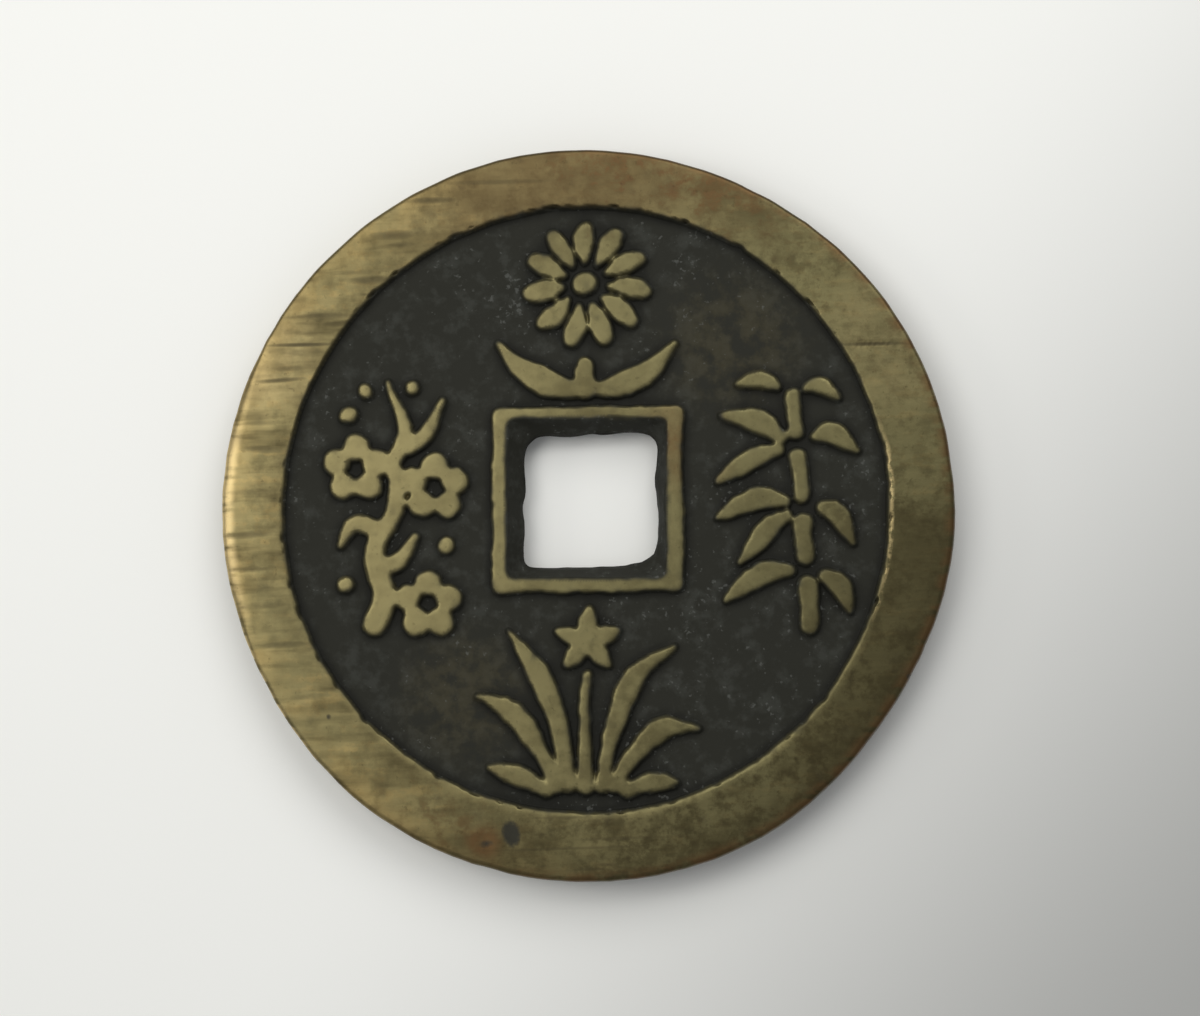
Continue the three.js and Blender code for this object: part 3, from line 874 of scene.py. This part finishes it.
def dirty_brass(shader, at, finish, brass):
    """That brass under streaks and clouds of brown dirt, darker toward the lower right, where shade is also
    painted on.
    """
    brass = shader.mix(at.streaks * at.on_rim * (0.20 + at.left * 0.60), brass, finish.dirt)
    clouded = (at.mottle + (at.broad - 0.5) * 0.5 + (at.fine - 0.5) * 0.35).above(0.38, 0.72)
    cover = 0.30 + at.on_rim * 0.25 + at.lower_right * 0.15 - at.left * 0.15
    brass = shader.mix(clouded * cover, brass, finish.dirt)
    # The rim is darker on the lower half of its right side, and duller at the lower left.
    lower = ((at.mottle - 0.5) * 4.0 + (at.fine - 0.5) * 3.0 + 0.6 - at.y).above(-0.8, 1.0)
    brass = shader.mix(lower * at.x.above(8.0, 14.0) * 0.44, brass, finish.dirt)
    lower_left = shader.near(at.where, (-15.5, -7.5), 8.0)
    brass = shader.mix(lower_left * at.bands.above(0.40, 0.60) * 0.55, brass, finish.dull)
    # Painted shade darkens the outer side of the rim at the lower right; the rim's inner side on the left
    # is darkened too.
    outer = 1 - at.inset.above(0.1, 2.0)
    shade = (outer * 0.42 + 0.13) * at.lower_right + at.inset.above(1.5, 2.6) * at.left * 0.26
    brass = shader.mix(shade * at.on_rim * (0.62 + at.patchy * 0.76), brass, finish.dirt)
    blots = (shader.noise(at.where, 0.75, 5.0, 0.7) * 0.65 + at.fine * 0.35).above(0.47, 0.58)
    cover = blots * at.on_rim * (1 - at.left) * (0.25 + at.lower_right * 0.20)
    return shader.mix(cover, brass, finish.dirt)


def stained_brass(shader, at, finish, brass):
    """That brass with its soft patches, and with red-brown tarnish at its top, its foot and its edge."""
    for middle, reach, share, tone in PATCHES:
        cover = shader.near(at.where, middle, reach) * (0.62 + at.patchy * 0.76) * share
        brass = shader.mix(cover, brass, getattr(finish, tone))
    depth = 0.60 + (at.fine - at.inset * 0.03).above(0.46, 0.60) * 0.4
    spots = (at.mottle * 0.8 + at.fine * 0.3 - at.inset * 0.06).above(0.34, 0.58)
    stain = shader.near(at.where, (3.4, 17.4), 9.5) * depth * spots
    stain = stain.most(shader.near(at.where, (-1.0, 17.6), 12.0) * at.on_rim * 0.42)
    stain = stain.most(shader.near(at.where, (-7.0, -16.0), 5.0) * at.mottle.above(0.50, 0.66) * 0.5)
    # Tarnish also spots the shoulder, except on the left.
    nicked = shader.noise(shader.together(at.x * 0.7, at.filed * 1.8, at.z), 0.9, 3.0).above(0.36, 0.60)
    shoulder = (1 - at.inset.above(0.05, 0.8)) * (1 - at.left) * nicked
    return shader.mix((stain * 0.80).most(shoulder * 0.9), brass, finish.tarnish)


def worn_brass(shader, at, finish, brass):
    """That brass rubbed bright at its edges, with a painted highlight there, dirt in its file marks and
    dark crust in its pits.
    """
    # Bright wear and a painted highlight follow the left shoulder, more thinly the lower left, and the
    # right rim's inner corner.
    spots = (at.lines * 0.5 + at.mottle * 0.5).above(0.36, 0.54)
    outer = (1 - at.inset.above(0.25, 0.85)) * shader.near(at.where, (-18.8, 0.2), 7.5) * spots
    under = (1 - at.inset.above(0.06, 0.30)) * shader.near(at.where, (-16.3, -7.5), 8.0)
    under = under * at.lines.above(0.38, 0.56)
    top = MIDDLE * MM + HALF
    outer = (outer * 0.85).most(under * 0.80) * at.z.above(top - 0.7, top - 0.35)
    inner = (1 - at.past_wall.above(0.20, 0.40)) * shader.near(at.where, (15.2, -0.9), 6.2) * at.on_rim
    brass = shader.mix(outer.most(inner * at.fine.above(0.38, 0.58)), brass, finish.rubbed)
    nicks = shader.noise(at.where, 3.3, 2.0, 0.5).above(0.66, 0.74)
    brass = shader.mix((nicks * 0.30).most(at.scars * 0.80), brass, finish.dirt)
    return shader.mix(at.pits * 0.92, brass, finish.patina)


def field_patina(shader, at, finish):
    """Near-black patina with a grey bloom, brown earth and pale specks, darkest along the relief from grime
    and painted shade.
    """
    bloom = (at.mottle + (at.fine - 0.5) * 0.4).above(0.44, 0.72)
    patina = shader.mix(bloom, finish.patina, finish.bloom)
    earth = shader.near(at.where, (7.4, 8.6), 5.0).most(shader.near(at.where, (-6.0, -9.2), 4.6))
    patina = shader.mix(earth * at.mottle.above(0.36, 0.60) * 0.55, patina, finish.earth)
    # Grime and painted shade darken the field along the foot of the relief and the rim.
    grime = shader.mark("grime").above(0.05, 0.42)
    patina = shader.mix(grime * 0.80, patina, [part * 0.42 for part in finish.patina])
    specks = shader.noise(at.where, 4.2, 2.0, 0.5) + (at.mottle + at.broad - 1.0) * 0.40
    return shader.mix(specks.above(0.68, 0.80) * 0.40, patina, finish.specks)


def coin_material(finish, shape):
    """Handled brass on all that stands proud, and a near-black patina on all that lies deep."""
    shader = Shader("worn_brass_and_patina")
    at = coin_places(shader, shape)
    brass = handled_brass(shader, at, finish)
    brass = dirty_brass(shader, at, finish, brass)
    brass = stained_brass(shader, at, finish, brass)
    brass = worn_brass(shader, at, finish, brass)
    bare = shader.mark("bare")
    brass_rough = 0.29 + 0.06 * at.lines + 0.10 * at.mottle + at.streaks * 0.10
    patina_rough = 0.60 + 0.20 * at.mottle
    on_metal = at.lines * at.on_rim * 0.5 + at.mottle * 0.5 + at.fine * 0.2
    height = bare * on_metal + (1 - bare) * (at.fine * 0.6 + at.mottle * 0.5)
    bump = shader.add("ShaderNodeBump", {}, {"Strength": 0.5, "Distance": 0.00003, "Height": height})
    sockets = {
        "Base Color": shader.mix(bare, field_patina(shader, at, finish), brass),
        "Roughness": bare * brass_rough + (1 - bare) * patina_rough,
        "Metallic": bare * (0.95 - at.scars * 0.45) * (1 - at.pits),
        "Specular IOR Level": 0.15,
        "Normal": bump,
    }
    return shader.finish(shader.add("ShaderNodeBsdfPrincipled", {}, sockets))


def paper_material(stage):
    """Pale paper, a little uneven in tone, with painted shade that greys it toward the side away from the
    lamps.
    """
    shader = Shader("pale_paper")
    where = shader.place()
    tone = shader.noise(where, 0.02, 3.0)
    colour = shader.mix(tone, [part * 0.98 for part in stage.paper], stage.paper)
    ways = [where, (0.79, -0.61, 0.0)]  # the second points away from the lamps
    away = shader.add("ShaderNodeVectorMath", {"operation": "DOT_PRODUCT"}, ways, "Value")
    # Painted shade: the paper's colour greys toward the lower right, away from the lamps.
    colour = shader.mix(away.above(0.0, 44.0), colour, [part * 0.45 for part in stage.paper])
    sockets = {"Base Color": colour, "Roughness": 0.7}
    return shader.finish(shader.add("ShaderNodeBsdfPrincipled", {}, sockets))


class CASHCOIN_OT_casting(bpy.types.Operator):
    """Builds the coin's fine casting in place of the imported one"""

    bl_idname = "cashcoin.casting"
    bl_label = "Build Casting"

    def execute(self, context):
        shape, finish = context.scene.coin_shape, context.scene.coin_finish
        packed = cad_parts[CASTING].data
        tree = BVHTree.FromPolygons(
            [vertex.co for vertex in packed.vertices], [tuple(face.vertices) for face in packed.polygons]
        )
        mesh = coin_mesh(shape, tree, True)
        mesh.materials.append(coin_material(finish, shape))
        coin = bpy.data.objects.new("coin_casting", mesh)
        context.scene.collection.objects.link(coin)
        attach(coin, "root")
        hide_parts(CASTING)
        return {"FINISHED"}


FLOOR_REACH = 1.5  # from the middle of the floor to each of its sides
FLOOR_GAP = 0.00002  # between the floor and the coin's back, so that the two don't flicker
ROOM_COLOUR = (0.97, 0.985, 1.0, 1.0)
ROOM_LIGHT = 0.42
# The soft lamps: the place from the middle of the coin's face, the width, the power and the colour.
LAMPS = (
    ("window", (0.0280, 0.0860, 0.1111), 0.110, 0.076, (1.0, 0.99, 0.96)),
    ("ceiling", (-0.0753, 0.0304, 0.1620), 0.120, 0.108, (1.0, 0.98, 0.94)),
    ("doorway", (-0.1228, 0.0043, 0.0860), 0.034, 0.012, (1.0, 0.97, 0.90)),
)


class CASHCOIN_OT_stage(bpy.types.Operator):
    """Lays the pale floor, hangs the lights and sets up the camera"""

    bl_idname = "cashcoin.stage"
    bl_label = "Set Stage"

    def execute(self, context):
        stage = context.scene.coin_stage
        self.lay_floor(context, stage)
        self.hang_lights(context)
        self.aim_camera(context, stage)
        context.scene.view_settings.view_transform = "Standard"
        return {"FINISHED"}

    def lay_floor(self, context, stage):
        under = COIN_LOW.z - FLOOR_GAP
        mesh = bpy.data.meshes.new("floor")
        ways = ((-1, -1), (1, -1), (1, 1), (-1, 1))
        corners = [(x * FLOOR_REACH, y * FLOOR_REACH, under) for x, y in ways]
        mesh.from_pydata(corners, [], [(0, 1, 2, 3)])
        mesh.materials.append(paper_material(stage))
        floor = bpy.data.objects.new("floor", mesh)
        context.scene.collection.objects.link(floor)

    def hang_lights(self, context):
        world = bpy.data.worlds.new("soft_room")
        world.use_nodes = True
        background = world.node_tree.nodes["Background"]
        background.inputs["Color"].default_value = ROOM_COLOUR
        background.inputs["Strength"].default_value = ROOM_LIGHT
        context.scene.world = world
        top = Vector((0, 0, COIN_HIGH.z))
        for name, place, size, power, colour in LAMPS:
            lamp = bpy.data.lights.new(name, "AREA")
            lamp.shape = "DISK"
            lamp.size = size
            lamp.energy = power
            lamp.color = colour
            light = bpy.data.objects.new(name, lamp)
            light.location = top + Vector(place)
            light.rotation_euler = Vector(place).to_track_quat("Z", "Y").to_euler()
            light.visible_camera = False
            context.scene.collection.objects.link(light)

    def aim_camera(self, context, stage):
        width = (COIN_HIGH.x - COIN_LOW.x) * IMAGE_WIDTH / stage.coin_pixels
        pixel = width / IMAGE_WIDTH
        target = Vector(
            (
                (IMAGE_WIDTH / 2 - stage.coin_column) * pixel,
                (stage.coin_row - IMAGE_HEIGHT / 2) * pixel,
                COIN_HIGH.z,
            )
        )
        lean = math.sin(stage.tilt)
        back = Vector(
            (lean * math.cos(stage.lean_way), lean * math.sin(stage.lean_way), math.cos(stage.tilt))
        )
        right = Vector((0, 1, 0)).cross(back).normalized()
        up = back.cross(right)
        camera = bpy.data.cameras.new("camera")
        camera.lens = camera.sensor_width * stage.distance / width
        camera.clip_start = 0.01
        view = bpy.data.objects.new("camera", camera)
        turn = Matrix((right, up, back)).transposed().to_4x4()
        view.matrix_world = Matrix.Translation(target + back * stage.distance) @ turn
        context.scene.collection.objects.link(view)
        context.scene.camera = view


class CASHCOIN_PT_panel(bpy.types.Panel):
    """Sizes and colours of the coin, and the steps that build it"""

    bl_idname = "CASHCOIN_PT_panel"
    bl_label = "Cash Coin"
    bl_space_type = "VIEW_3D"
    bl_region_type = "UI"
    bl_category = "Cash Coin"

    def draw(self, context):
        scene = context.scene
        for group in (scene.coin_shape, scene.coin_finish, scene.coin_stage):
            box = self.layout.box()
            for name in group.__annotations__:
                box.prop(group, name)
        self.layout.operator(CASHCOIN_OT_casting.bl_idname)
        self.layout.operator(CASHCOIN_OT_stage.bl_idname)


CLASSES = (
    CoinShape,
    CoinFinish,
    CoinStage,
    CASHCOIN_OT_casting,
    CASHCOIN_OT_stage,
    CASHCOIN_PT_panel,
)


def register():
    for made in CLASSES:
        bpy.utils.register_class(made)
    bpy.types.Scene.coin_shape = bpy.props.PointerProperty(type=CoinShape)
    bpy.types.Scene.coin_finish = bpy.props.PointerProperty(type=CoinFinish)
    bpy.types.Scene.coin_stage = bpy.props.PointerProperty(type=CoinStage)


def unregister():
    del bpy.types.Scene.coin_shape
    del bpy.types.Scene.coin_finish
    del bpy.types.Scene.coin_stage
    for made in reversed(CLASSES):
        bpy.utils.unregister_class(made)


def main():
    register()
    bpy.ops.cashcoin.stage()
    bpy.ops.cashcoin.casting()


if __name__ == "__main__":
    main()
